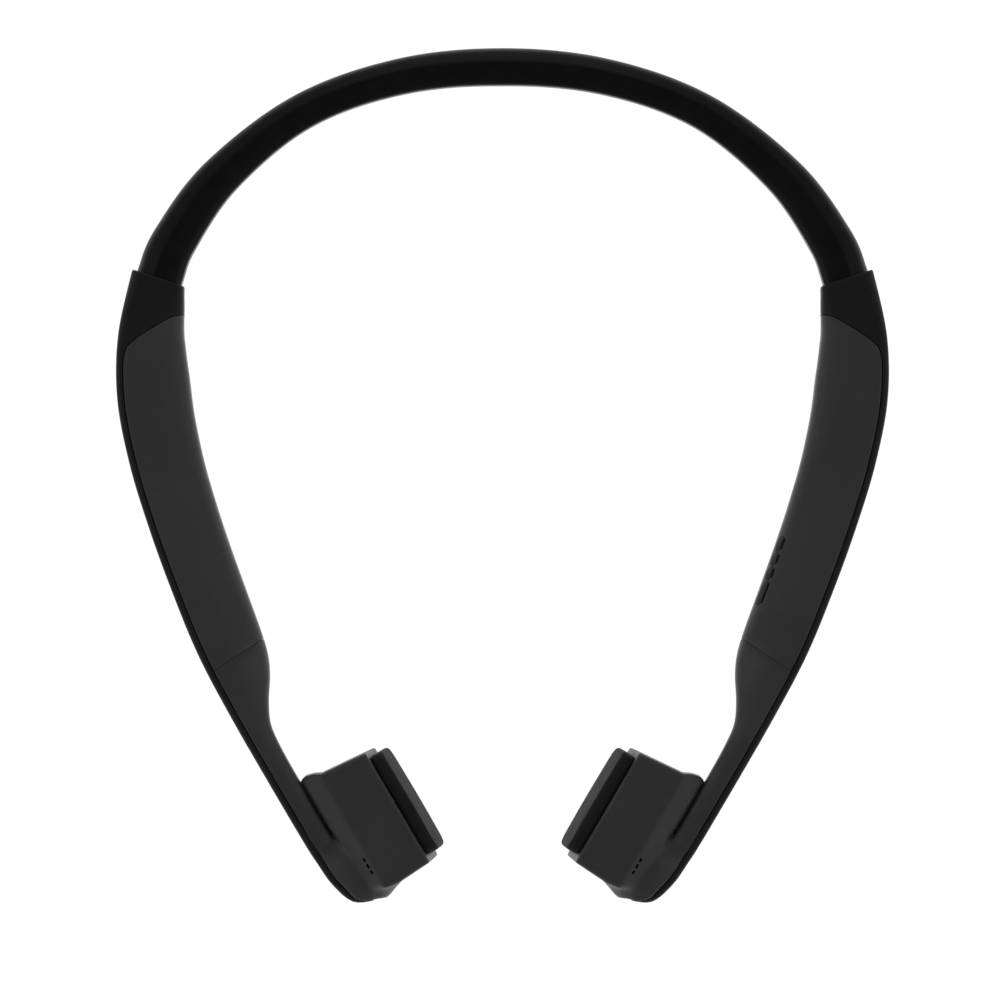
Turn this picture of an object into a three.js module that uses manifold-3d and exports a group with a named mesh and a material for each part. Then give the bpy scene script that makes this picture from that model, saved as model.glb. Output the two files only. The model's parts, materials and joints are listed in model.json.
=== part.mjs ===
// Bone conduction headphones: a sprung neckband that runs behind the head, two arms that hook over
// the ears, and two transducer pods whose pads rest on the cheekbones.
// Millimetres. +Z is up when worn, +Y is the back of the head, +X is the wearer's left.
// The headset is left-right symmetrical, so every paired piece is built for the left (+X) side
// and mirrored for the right.
import * as THREE from 'three';
import { mergeVertices } from 'three/addons/utils/BufferGeometryUtils.js';
import Module from 'manifold-3d';

const wasm = await Module();
wasm.setup();

// ---------- driving dimensions ----------

const GAP = 0.3; // clearance between neighbouring pieces

// Outer edge of the neckband, from the back of the head to the end of its tongue in the sleeve.
const BAND_EDGE = [
  [0, 81.15],
  [20.2, 79.1],
  [39.7, 72.1],
  [56.5, 59.4],
  [66.1, 46.7],
  [69.35, 39.0],
  [70.9, 33.0],
  [71.9, 26.5],
  [72.1, 14.0],
];
const BAND_THICKNESS = [[0, 7.2], [41, 6.9], [73, 8.4], [86, 8.9], [112, 8.9]];
const BAND_HEIGHT = [[0, 9.4], [55, 9.6], [86, 11.2], [112, 11.2]];
const BAND_FLEX_AT = 41.5; // distance of the flex joint from the middle of the band
const TONGUE_LENGTH = 7; // how far the band's skin reaches into the sleeve
const CORE_SECTION = [0.8, 5.5]; // spring-steel strip: thickness, height
const CORE_REACH = 11; // how far the strip reaches into the sleeve
const LEAD_RADIUS = 0.7;
const BAND_LEAD_REACH = 18;

// Outer edge of the left arm, from the mouth of the sleeve to the tip below the pod.
const ARM_EDGE = [
  [70.3, 39.05],
  [72.95, 26.6],
  [73.1, 14.4],
  [70.75, 2.0],
  [67.05, -10.0],
  [62.6, -22.1],
  [57.6, -34.1],
  [51.4, -46.0],
  [44.7, -57.8],
  [38.0, -69.2],
  [35.2, -73.6],
  [32.2, -77.8],
  [28.2, -81.0],
  [23.4, -80.5],
];
// Width of the arm, measured inwards from its outer edge, along its length.
const ARM_WIDTH = [
  [0, 10.3], [10, 12.2], [20, 13.7], [27, 14.0], [50, 13.45], [70, 13.0], [78, 12.55],
  [82, 11.9], [86, 10.2], [90, 7.8], [94, 6.0], [98, 5.45], [105, 5.25], [120, 5.25],
];
const ARM_HEIGHT = [
  [0, 12.6], [12, 14.2], [20, 15], [70, 15], [80, 13.6], [88, 10.4], [95, 8.8], [117, 9.0],
  [137, 7.6],
];
const OUTER_CORNER = 1.0; // rounding of the arm's outer edges
const INNER_CORNER = 3.8; // rounding of its inner edges, and the same as a share of its width
const INNER_CORNER_SHARE = 0.34;
const ARM_MID = 7.5; // height of the arm's middle above the table
const HOOK_MID = 16; // the same at the top of the ear hook
const POD_MID = 12; // the same at the pod's neck
const HOOK_RISE = [8, -40]; // the arm climbs between these two places along Y
const HOOK_FALL = [-40, -66];
const SPINE = 1.15; // thickness of the outer cover along the arm's outer edge
const WALL = 1.6; // wall of the arm's hollow casing
// Where sleeve and casing meet: distance along the arm, depth from its outer edge.
const SLEEVE_SEAM = [
  [6.3, 16], [6.3, 11.2], [7.05, 9.6], [8.3, 8.15], [12.9, 3.65], [14.9, 1.9], [17.4, SPINE],
];
const POCKET_START = 19; // the casing's main pocket; a narrower one reaches back into the sleeve
const REAR_POCKET_START = 12;
const PARTING = 79.5; // where the casing ends and the ear hook begins
const ARM_END = 116.8; // where the pod's flexible neck starts
const NECK_GAP = 0.5;
const TIP_COVER_END = 131.8;
const SLIT = [0.75, 0.45]; // gap between hook and pod at its open and closed end
const SLIT_START = 107.2;
const HOOK_CHANNEL = [3.1, 4.8]; // depth and height of the channel for the hook's spring and lead
const HOOK_WIRE_DEPTH = 2.3;
const HOOK_SPRING = [1.3, 0.6]; // height above the channel's middle, radius
const HOOK_LEAD = [-1.2, LEAD_RADIUS];

// Pod: a rounded box seen from above, facing the cheek.
const POD_CENTRE = [20.25, -62.7];
const POD_ALONG = [-0.507, -0.862]; // direction from the pod's rear end to its front end
const POD_HEIGHT = 19;
const POD_TILT = 0.1; // slope of the pad's face, which looks slightly upwards
const POD_EDGE = 0.9; // chamfer round the pod
const POD_BACK_SLOPE = [-9, -14.5, 4.2]; // where the back starts to slope, ends, and by how much
const POD_REAR = [[3.6, -11.2], [0.2, -11.6], [-8.2, -12.2], [-10.1, -13.0], [-12.1, -13.3]];
const POD_FRONT = [[-11.6, 13.7], [-8.6, 14.2], [-6.7, 13.6], [3.6, 12.3]];
const KNUCKLE = [9.6, 0.8]; // height and chamfer of the knuckle at the arm's tip
const KNUCKLE_FRONT = [[-10.4, 14.1], [-8.6, 14.2], [-7, 12], [-9.5, 2]];
const TIP_END = 136.4;
const CAVITY = [11.5, 20, 15.2]; // depth, length, height

// The pad and what moves it, along the axis that comes out of the pod's mouth.
const PAD = { from: GAP, to: GAP + 2.6, length: 20.8, height: 16.4, corner: 2.6 };
const PAD_BOSS = { from: -1.6, to: 0.5, length: 13, height: 8.6, corner: 1.0 };
const PAD_FRAME = { from: -1.9, to: -0.4, length: 19.4, height: 14.6, corner: 1.6 };
const PAD_FRAME_OPENING = { from: -3, to: 1, length: 14, height: 9.6, corner: 1.2 };
const VIBRATION_PLATE = { from: -3.1, to: -2.2, length: 16, height: 11, corner: 1.2 };
const SUSPENSION = { from: -3.9, to: -3.4, length: 17.6, height: 13, corner: 1.2 };
const SUSPENSION_SLOT = { from: -5, to: -2, length: 1.2, height: 9, corner: 0.4 };
const SUSPENSION_SLOT_AT = 7.2;
const VOICE_COIL = { from: -7.6, to: -4.2, radius: 4.2, bore: 3.3 };
const MAGNET = { from: -8.1, to: -5.2, radius: 2.9 };
const YOKE = { from: -9.6, to: -4.6, radius: 6.2, bore: 4.6, floor: 1.2 };

// Keys on the upper inner edge of the left arm: name, start, length along the arm.
const KEYS = [
  ['volume_up_key', 56.4, 3.0],
  ['play_key', 59.75, 2.6],
  ['volume_down_key', 62.7, 2.6],
  ['power_key', 65.65, 4.9],
];
const KEY_WIDTH = 1.6;
const KEY_PROUD = 0.45; // how far a key stands out of the casing
const KEY_LENGTH = 3.2; // from the key's touch face to its foot
const KEY_ROW_INSET = 1.15; // middle of the key row, inwards from the casing's edge
const KEY_CLEARANCE = [0.15, 0.25]; // round each key, along and across the row
const KEY_SWITCH = [2.2, 1.8, 0.95];
const KEY_SWITCH_GAP = 0.55;
const KEY_BOARD = [14.8, 2.4, 0.5];

// What the arms hold: [length along the arm, thickness, height].
const BOARD = [26, 0.8, 8];
const BOARD_SPAN = [21, 47];
const BOARD_DEPTH = 5.6;
const RADIO = [9, 1.6, 6.6];
const RADIO_AT = 6.5;
const ANTENNA = [3, 1, 4.4];
const ANTENNA_AT = -10.6;
const BATTERY = [30, 4.4, 9];
const BATTERY_SPAN = [38, 68];
const BATTERY_DEPTH = 7;
const BATTERY_BOARD = [0.8, 6.4, 7];
const BATTERY_BOARD_SPAN = [70, 75];
const BATTERY_FOAM = [24, 1, 7];
const USB_SOCKET = [7.6, 2.6, 5.2];
const USB_SOCKET_AT = -3.4;
const USB_SOCKET_DROP = 2.6; // below the board's middle
const USB_SOCKET_WALL = 0.45;

// Underside of the left arm.
const USB_COVER = [10.4, 4.6, 0.8];
const USB_COVER_LIFT = 0.15; // the flap sits this far inside the surface
const USB_PLUG = [5.6, 1.2, 0.8];
const USB_THROAT = [8.2, 3.2, 6];
const LIGHT = [1.2, 1.2, 2.2];
const LIGHT_AT = -9.5; // distances along the casing from the charging socket
const MICROPHONE = [2.6, 2.6, 1.0];
const MICROPHONE_AT = 9.5;
const SOUND_HOLE = [1.0, 1.0, 5];

// ---------- materials ----------

const finish = (color, roughness, metalness = 0) => ({ color, roughness, metalness });
const FINISHES = {
  band_rubber: finish(0x1c1c1d, 0.42),
  cover: finish(0x161617, 0.5),
  shell: finish(0x2f2f30, 0.55),
  pad: finish(0x141415, 0.8),
  steel: finish(0x9a9b9e, 0.3, 1),
  magnet: finish(0x6c6d70, 0.35, 1),
  copper: finish(0xb4683a, 0.4, 1),
  lead: finish(0x202124, 0.6),
  board: finish(0x1d4a2c, 0.5),
  chip: finish(0xa9aaad, 0.35, 1),
  ceramic: finish(0xd8d4c8, 0.5),
  battery: finish(0xb9bcc0, 0.45),
  foam: finish(0x3a3a3c, 0.95),
  key: finish(0x262627, 0.6),
  lens: finish(0xdfe6ea, 0.15),
};

// ---------- geometry helpers ----------

// Smooth curve through a list of [position, value] pairs, level beyond both ends.
function profile(knots) {
  const slopes = knots.map((knot, i) => {
    const before = knots[Math.max(i - 1, 0)];
    const after = knots[Math.min(i + 1, knots.length - 1)];
    return (after[1] - before[1]) / (after[0] - before[0]);
  });
  return (at) => {
    const first = knots[0];
    const last = knots[knots.length - 1];
    if (at <= first[0]) return first[1];
    if (at >= last[0]) return last[1];
    const i = knots.findIndex((knot) => knot[0] > at) - 1;
    const span = knots[i + 1][0] - knots[i][0];
    const t = (at - knots[i][0]) / span;
    const blend = t * t * (3 - 2 * t);
    const bend = slopes[i] * t * (1 - t) ** 2 - slopes[i + 1] * t * t * (1 - t);
    return knots[i][1] + (knots[i + 1][1] - knots[i][1]) * blend + bend * span;
  };
}

function toSolid(geometry) {
  const bare = new THREE.BufferGeometry();
  bare.setAttribute('position', geometry.getAttribute('position'));
  bare.setIndex(geometry.index);
  const merged = mergeVertices(bare, 1e-4);
  return new wasm.Manifold(new wasm.Mesh({
    numProp: 3,
    vertProperties: new Float32Array(merged.getAttribute('position').array),
    triVerts: new Uint32Array(merged.index.array),
  }));
}

function toGeometry(solid) {
  const mesh = solid.getMesh();
  const geometry = new THREE.BufferGeometry();
  geometry.setAttribute('position', new THREE.BufferAttribute(new Float32Array(mesh.vertProperties), 3));
  geometry.setIndex(new THREE.BufferAttribute(new Uint32Array(mesh.triVerts), 1));
  return geometry;
}

const cut = (solid, ...tools) => tools.reduce((left, tool) => left.subtract(tool), solid);

// Closed solid through a row of rings, each a list of the same number of points.
function loft(rings) {
  const count = rings[0].length;
  const position = rings.flat().flatMap((p) => [p.x, p.y, p.z]);
  const index = [];
  for (let r = 0; r + 1 < rings.length; r += 1) {
    for (let i = 0; i < count; i += 1) {
      const a = r * count + i;
      const b = r * count + ((i + 1) % count);
      index.push(a, b, b + count, a, b + count, a + count);
    }
  }
  const end = (rings.length - 1) * count;
  for (let i = 1; i + 1 < count; i += 1) {
    index.push(0, i + 1, i, end, end + i, end + i + 1);
  }
  const geometry = new THREE.BufferGeometry();
  geometry.setAttribute('position', new THREE.BufferAttribute(new Float32Array(position), 3));
  geometry.setIndex(index);
  return signedVolume(geometry) > 0 ? toSolid(geometry) : toSolid(flipped(geometry));
}

function signedVolume(geometry) {
  const p = geometry.getAttribute('position');
  const index = geometry.index.array;
  const [a, b, c] = [new THREE.Vector3(), new THREE.Vector3(), new THREE.Vector3()];
  let volume = 0;
  for (let i = 0; i < index.length; i += 3) {
    a.fromBufferAttribute(p, index[i]);
    b.fromBufferAttribute(p, index[i + 1]);
    c.fromBufferAttribute(p, index[i + 2]);
    volume += a.dot(b.cross(c)) / 6;
  }
  return volume;
}

function flipped(geometry) {
  const index = Array.from(geometry.index.array);
  for (let i = 0; i < index.length; i += 3) {
    [index[i], index[i + 1]] = [index[i + 1], index[i]];
  }
  geometry.setIndex(index);
  return geometry;
}

// Evenly spaced stations from one place to another, about `step` apart.
function stations(from, to, step) {
  const count = Math.max(1, Math.round((to - from) / step));
  return Array.from({ length: count + 1 }, (_, i) => from + ((to - from) * i) / count);
}

// Rounded rectangle as a ring of [depth, height] pairs; the outer and inner corners differ.
function roundedRing(u0, u1, z0, z1, outer, inner) {
  const corners = [
    [u0 + outer, z0 + outer, outer, Math.PI, 3],
    [u1 - inner, z0 + inner, inner, 1.5 * Math.PI, 4],
    [u1 - inner, z1 - inner, inner, 0, 4],
    [u0 + outer, z1 - outer, outer, 0.5 * Math.PI, 3],
  ];
  return corners.flatMap(([u, z, r, start, steps]) => Array.from({ length: steps + 1 }, (_, i) => {
    const angle = start + (0.5 * Math.PI * i) / steps;
    return [u + r * Math.cos(angle), z + r * Math.sin(angle)];
  }));
}

const boxRing = (u0, u1, z0, z1) => [[u0, z0], [u1, z0], [u1, z1], [u0, z1]];

function roundRing(u, z, radius, sides = 8) {
  return Array.from({ length: sides }, (_, i) => {
    const angle = (2 * Math.PI * (i + 0.5)) / sides;
    return [u + radius * Math.cos(angle), z + radius * Math.sin(angle)];
  });
}

// Box by its corners in the frame of `matrix`.
function boxIn(matrix, [x0, y0, z0], [x1, y1, z1]) {
  const geometry = new THREE.BoxGeometry(x1 - x0, y1 - y0, z1 - z0);
  geometry.translate((x0 + x1) / 2, (y0 + y1) / 2, (z0 + z1) / 2);
  return toSolid(geometry.applyMatrix4(matrix));
}

// Box of a given size, centred on a point of the frame of `matrix`.
function centredBox(matrix, [x, y, z], [length, width, height]) {
  const low = [x - length / 2, y - width / 2, z - height / 2];
  const high = [x + length / 2, y + width / 2, z + height / 2];
  return boxIn(matrix, low, high);
}

// Plate across X with rounded corners, `length` along Y and `height` along Z.
function plateIn(matrix, { from, to, length, height, corner }, y = 0) {
  const [hy, hz] = [length / 2, height / 2];
  const shape = new THREE.Shape();
  shape.moveTo(y - hy + corner, -hz);
  shape.lineTo(y + hy - corner, -hz);
  shape.absarc(y + hy - corner, -hz + corner, corner, -Math.PI / 2, 0);
  shape.absarc(y + hy - corner, hz - corner, corner, 0, Math.PI / 2);
  shape.absarc(y - hy + corner, hz - corner, corner, Math.PI / 2, Math.PI);
  shape.absarc(y - hy + corner, -hz + corner, corner, Math.PI, 1.5 * Math.PI);
  const depth = to - from;
  const geometry = new THREE.ExtrudeGeometry(shape, { depth, bevelEnabled: false, curveSegments: 4 });
  geometry.applyMatrix4(new THREE.Matrix4().makeBasis(
    new THREE.Vector3(0, 1, 0),
    new THREE.Vector3(0, 0, 1),
    new THREE.Vector3(1, 0, 0),
  ).setPosition(from, 0, 0));
  return toSolid(indexed(geometry.applyMatrix4(matrix)));
}

// Round bar along X.
function barIn(matrix, from, to, radius) {
  const geometry = new THREE.CylinderGeometry(radius, radius, to - from, 24);
  geometry.rotateZ(-Math.PI / 2);
  geometry.translate((from + to) / 2, 0, 0);
  return toSolid(geometry.applyMatrix4(matrix));
}

function indexed(geometry) {
  const bare = new THREE.BufferGeometry();
  bare.setAttribute('position', geometry.getAttribute('position'));
  return mergeVertices(bare, 1e-4);
}

// Upright prism over an outline seen from above.
function prism(outline, z0, z1) {
  const shape = new THREE.Shape(outline.map(([x, y]) => new THREE.Vector2(x, y)));
  const geometry = new THREE.ExtrudeGeometry(shape, { depth: z1 - z0, bevelEnabled: false });
  geometry.translate(0, 0, z0);
  return toSolid(indexed(geometry));
}

// Prism whose upper and lower edges are chamfered.
function chamferedPrism(outline, z0, z1, chamfer) {
  const shape = new THREE.Shape(outline.map(([x, y]) => new THREE.Vector2(x, y)));
  const geometry = new THREE.ExtrudeGeometry(shape, {
    depth: z1 - z0 - 2 * chamfer,
    bevelThickness: chamfer,
    bevelSize: chamfer,
    bevelOffset: -chamfer,
    bevelSegments: 1,
  });
  geometry.translate(0, 0, z0 + chamfer);
  return toSolid(indexed(geometry));
}

// ---------- neckband path ----------

const bandThickness = profile(BAND_THICKNESS);
const bandHeight = profile(BAND_HEIGHT);
const mirroredEdge = BAND_EDGE.slice(1).reverse().map(([x, y]) => [-x, y]);
const bandCurve = new THREE.SplineCurve(
  [...mirroredEdge, ...BAND_EDGE].map(([x, y]) => new THREE.Vector2(x, y)),
);
bandCurve.arcLengthDivisions = 2000;

// Point of the left half of the band: distance from its middle, depth from its outer face, height.
function bandPoint(distance, depth, height) {
  const at = 0.5 + distance / bandCurve.getLength();
  const edge = bandCurve.getPointAt(at);
  const along = bandCurve.getTangentAt(at);
  return new THREE.Vector3(edge.x + along.y * depth, edge.y - along.x * depth, ARM_MID + height);
}

// Distance along the band at which it enters the sleeve.
function sleeveMouth() {
  let [low, high] = [0, bandCurve.getLength() / 2];
  while (high - low > 0.01) {
    const middle = (low + high) / 2;
    if (bandPoint(middle, 0, 0).y > ARM_EDGE[0][1]) low = middle;
    else high = middle;
  }
  return low;
}

const MOUTH = sleeveMouth();

function bandLoft(from, to, step, ringAt) {
  const rings = stations(from, to, step).map((distance) => (
    ringAt(distance).map(([depth, height]) => bandPoint(distance, depth, height))
  ));
  return loft(rings);
}

// The band's section: a rounded outer face, a ridge above and below, and a flatter inner face.
function bandRing(distance, grow = 0) {
  const thickness = bandThickness(distance) + 2 * grow;
  const half = bandHeight(distance) / 2 + grow;
  const upper = [[0, 0.38], [0.12, 0.76], [0.4, 1], [0.8, 0.84], [0.94, 0.7], [1, 0.48]];
  const lower = upper.map(([u, z]) => [u, -z]).reverse();
  return [...upper, ...lower].map(([u, z]) => [u * thickness - grow, z * half]);
}

function coreRing(distance, grow = 0) {
  const middle = 0.42 * bandThickness(distance);
  const [thickness, height] = CORE_SECTION;
  const reach = thickness / 2 + grow;
  return boxRing(middle - reach, middle + reach, -height / 2 - grow, height / 2 + grow);
}

const bandLeadRing = (distance, grow = 0) => (
  roundRing(0.73 * bandThickness(distance), 0, LEAD_RADIUS + grow)
);

// ---------- arm path ----------

const armWidth = profile(ARM_WIDTH);
const armHeight = profile(ARM_HEIGHT);
const armCurve = new THREE.SplineCurve(ARM_EDGE.map(([x, y]) => new THREE.Vector2(x, y)));
armCurve.arcLengthDivisions = 2000;

// Height of the arm's middle line, which climbs over the ear and comes down to the cheek.
function midHeight(y) {
  const rise = THREE.MathUtils.smoothstep(-y, -HOOK_RISE[0], -HOOK_RISE[1]);
  const fall = THREE.MathUtils.smoothstep(-y, -HOOK_FALL[0], -HOOK_FALL[1]);
  return ARM_MID + (HOOK_MID - ARM_MID) * rise + (POD_MID - HOOK_MID) * fall;
}

// Point of the left arm: distance from the sleeve's mouth, depth from the outer edge, height.
function armPoint(distance, depth, height) {
  const at = THREE.MathUtils.clamp(distance / armCurve.getLength(), 0, 1);
  const edge = armCurve.getPointAt(at);
  const along = armCurve.getTangentAt(at);
  const y = edge.y - along.x * depth;
  return new THREE.Vector3(edge.x + along.y * depth, y, midHeight(y) + height);
}

function armLoft(from, to, step, ringAt) {
  const rings = stations(from, to, step).map((distance) => (
    ringAt(distance).map(([depth, height]) => armPoint(distance, depth, height))
  ));
  return loft(rings);
}

function armRing(distance) {
  const width = armWidth(distance);
  const half = armHeight(distance) / 2;
  const inner = Math.min(INNER_CORNER, INNER_CORNER_SHARE * width);
  return roundedRing(0, width, -half, half, OUTER_CORNER, inner);
}

// Outline seen from above, from [distance, depth] pairs on the arm; long stretches are divided.
function armOutline(pairs, step = 3) {
  const outline = pairs.slice(1).flatMap(([distance, depth], i) => {
    const [fromDistance, fromDepth] = pairs[i];
    const count = Math.max(1, Math.round(Math.abs(distance - fromDistance) / step));
    return Array.from({ length: count }, (_, k) => armPoint(
      fromDistance + ((distance - fromDistance) * k) / count,
      fromDepth + ((depth - fromDepth) * k) / count,
      0,
    ));
  });
  outline.push(armPoint(...pairs[pairs.length - 1], 0));
  return outline.map((point) => [point.x, point.y]);
}

// Frame of a straight item inside the arm: X along it, Y outwards, Z up.
function spanFrame(from, to, depth, height) {
  const start = armPoint(from, depth, height);
  const end = armPoint(to, depth, height);
  const along = end.clone().sub(start).normalize();
  const outward = new THREE.Vector3(0, 0, 1).cross(along).normalize();
  const up = along.clone().cross(outward);
  const middle = start.clone().add(end).multiplyScalar(0.5);
  return new THREE.Matrix4().makeBasis(along, outward, up).setPosition(middle);
}

// ---------- pod frames ----------

const podAlong = new THREE.Vector3(POD_ALONG[0], POD_ALONG[1], 0).normalize();
const podFacing = new THREE.Vector3(podAlong.y, -podAlong.x, 0);
const podUp = new THREE.Vector3(0, 0, 1);

// Point seen from above, from how far it stands towards the cheek and along the pod.
function podPoint(facing, along) {
  const x = POD_CENTRE[0] + podFacing.x * facing + podAlong.x * along;
  const y = POD_CENTRE[1] + podFacing.y * facing + podAlong.y * along;
  return [x, y];
}

// Frame of the pad: X out of the pad's face, Y along the pod, Z up, origin in the pod's mouth.
function padFrame() {
  const angle = Math.atan(POD_TILT);
  const out = podFacing.clone().multiplyScalar(Math.cos(angle)).addScaledVector(podUp, Math.sin(angle));
  const up = out.clone().cross(podAlong);
  const [x, y] = podPoint((POD_TILT * POD_HEIGHT) / 2, 0.4);
  return new THREE.Matrix4().makeBasis(out, podAlong, up).setPosition(x, y, POD_HEIGHT / 2);
}

// ---------- pieces ----------

const group = new THREE.Group();

function addMesh(name, finishName, solid) {
  const geometry = toGeometry(solid);
  geometry.computeVertexNormals();
  const mesh = new THREE.Mesh(geometry, new THREE.MeshStandardMaterial(FINISHES[finishName]));
  mesh.name = name;
  group.add(mesh);
}

// Adds the left piece and its mirror image on the right.
function addPair(name, finishName, solid) {
  addMesh(`left_${name}`, finishName, solid);
  addMesh(`right_${name}`, finishName, solid.mirror([1, 0, 0]));
}

function addNeckband() {
  const flex = BAND_FLEX_AT - GAP / 2;
  const skin = cut(
    bandLoft(-flex, flex, 5, (d) => bandRing(Math.abs(d))),
    bandLoft(-flex - 1, flex + 1, 5, (d) => coreRing(Math.abs(d), GAP)),
    bandLoft(-flex - 1, flex + 1, 5, (d) => bandLeadRing(Math.abs(d), GAP)),
  );
  addMesh('band_skin_centre', 'band_rubber', skin);
  addMesh('band_core_centre', 'steel', bandLoft(-flex, flex, 5, (d) => coreRing(Math.abs(d))));
  addMesh('band_lead_centre', 'lead', bandLoft(-flex, flex, 5, (d) => bandLeadRing(Math.abs(d))));
}

function addBandSide() {
  const start = BAND_FLEX_AT + GAP / 2;
  const end = MOUTH + TONGUE_LENGTH;
  const skin = cut(
    bandLoft(start, end, 5, (d) => bandRing(d)),
    bandLoft(start - 1, end + 1, 5, (d) => coreRing(d, GAP)),
    bandLoft(start - 1, end + 1, 5, (d) => bandLeadRing(d, GAP)),
  );
  addPair('band_skin', 'band_rubber', skin);
  addPair('band_core', 'steel', bandLoft(start, MOUTH + CORE_REACH, 5, (d) => coreRing(d)));
  addPair('band_lead', 'lead', bandLoft(start, MOUTH + BAND_LEAD_REACH, 4, (d) => bandLeadRing(d)));
}

const armBody = armLoft(0, ARM_END, 3.5, armRing);
const bandLeadHole = bandLoft(MOUTH + 5, MOUTH + 20, 5, (d) => bandLeadRing(d, GAP));
const hookChannel = armLoft(PARTING - 5, ARM_END - 0.8, 4, () => (
  boxRing(-1, HOOK_CHANNEL[0], -HOOK_CHANNEL[1] / 2, HOOK_CHANNEL[1] / 2)
));

// Black outer cover: the sleeve that holds the band and the spine along the arm's outer edge.
function addOuterCover() {
  const shellRegion = prism(armOutline([
    ...SLEEVE_SEAM.map(([distance, depth]) => [distance - GAP, depth - (depth > SPINE ? GAP : 0)]),
    [ARM_END + 4, SPINE],
    [ARM_END + 4, 16],
  ]), -10, 40);
  const cover = cut(
    armBody,
    shellRegion,
    bandLoft(MOUTH - 3, MOUTH + TONGUE_LENGTH + GAP, 3, (d) => bandRing(d, GAP)),
    bandLoft(MOUTH + 5, MOUTH + CORE_REACH + GAP, 3, (d) => coreRing(d, GAP)),
    bandLeadHole,
  );
  addPair('outer_cover', 'cover', cover);
}

// Hollow grey casing of the arm's thick part; its open side is closed by the outer cover.
function innerShell() {
  const region = prism(armOutline([
    ...SLEEVE_SEAM.map(([distance, depth]) => [distance, depth > SPINE ? depth : SPINE + GAP]),
    [PARTING + 0.2, SPINE + GAP],
    [PARTING - 1.6, 16],
  ]), -10, 40);
  const pocket = armLoft(POCKET_START, PARTING - 3.4, 4, (distance) => {
    const half = armHeight(distance) / 2 - WALL;
    return boxRing(-1, armWidth(distance) - WALL, -half, half);
  });
  const rearPocket = armLoft(REAR_POCKET_START, POCKET_START + 0.2, 3.6, (distance) => {
    const half = armHeight(distance) / 2 - WALL;
    const depth = 6.4 - 0.68 * (distance - REAR_POCKET_START); // stays clear of the sleeve's seam
    return boxRing(depth, armWidth(distance) - WALL, -half, half);
  });
  return cut(armBody.intersect(region), pocket, rearPocket, bandLeadHole, hookChannel);
}

function addHook() {
  const region = prism(armOutline([
    [PARTING + 0.5, SPINE + GAP],
    [ARM_END + 2, SPINE + GAP],
    [ARM_END + 2, 16],
    [PARTING - 1.3, 16],
  ]), -10, 40);
  addPair('hook_shell', 'shell', cut(armBody.intersect(region), hookChannel));
  addPair('hook_spring', 'steel', armLoft(PARTING - 2.6, ARM_END - 1.2, 4, () => (
    roundRing(HOOK_WIRE_DEPTH, ...HOOK_SPRING)
  )));
  addPair('hook_lead', 'lead', armLoft(PARTING - 6, ARM_END - 1.2, 4, () => (
    roundRing(HOOK_WIRE_DEPTH, ...HOOK_LEAD)
  )));
}

function addRightArm() {
  addMesh('right_inner_shell', 'shell', innerShell().mirror([1, 0, 0]));
  const battery = spanFrame(...BATTERY_SPAN, BATTERY_DEPTH, 0);
  const board = spanFrame(...BATTERY_BOARD_SPAN, BATTERY_DEPTH, 0);
  const foamAt = -(BATTERY[1] + BATTERY_FOAM[1]) / 2 - 0.4;
  const pieces = [
    ['battery_cell', 'battery', centredBox(battery, [0, 0, 0], BATTERY)],
    ['battery_board', 'board', centredBox(board, [0, 0, 0], BATTERY_BOARD)],
    ['battery_foam', 'foam', centredBox(battery, [0, foamAt, 0], BATTERY_FOAM)],
  ];
  pieces.forEach(([name, finishName, solid]) => addMesh(name, finishName, solid.mirror([1, 0, 0])));
}

// Frame of the key row: X along the arm, Z out of the casing's upper inner edge.
function keyFrame(start, length) {
  const middle = start + length / 2;
  const depth = armWidth(middle) - KEY_ROW_INSET;
  const height = armHeight(middle) / 2 - KEY_ROW_INSET;
  const base = spanFrame(start, start + length, depth, height);
  return base.multiply(new THREE.Matrix4().makeRotationX(Math.PI / 4));
}

// Adds the keys with what is under them and returns the holes they need in the casing.
function addKeys() {
  const foot = KEY_PROUD - KEY_LENGTH;
  const switchAt = foot - KEY_SWITCH_GAP - KEY_SWITCH[2] / 2;
  const holes = KEYS.map(([name, start, length], i) => {
    const frame = keyFrame(start, length);
    const middle = (KEY_PROUD + foot) / 2;
    addMesh(name, 'key', centredBox(frame, [0, 0, middle], [length, KEY_WIDTH, KEY_LENGTH]));
    addMesh(`key_switch_${i + 1}`, 'chip', centredBox(frame, [0, 0, switchAt], KEY_SWITCH));
    const hole = [length + 2 * KEY_CLEARANCE[0], KEY_WIDTH + 2 * KEY_CLEARANCE[1], KEY_LENGTH + 4.5];
    return centredBox(frame, [0, 0, middle], hole);
  });
  const [first, last] = [KEYS[0], KEYS[KEYS.length - 1]];
  const strip = keyFrame(first[1], last[1] + last[2] - first[1]);
  const stripAt = switchAt - KEY_SWITCH[2] / 2 - GAP - KEY_BOARD[2];
  addMesh('key_board', 'board', centredBox(strip, [0, 0, stripAt], KEY_BOARD));
  return holes;
}

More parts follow.
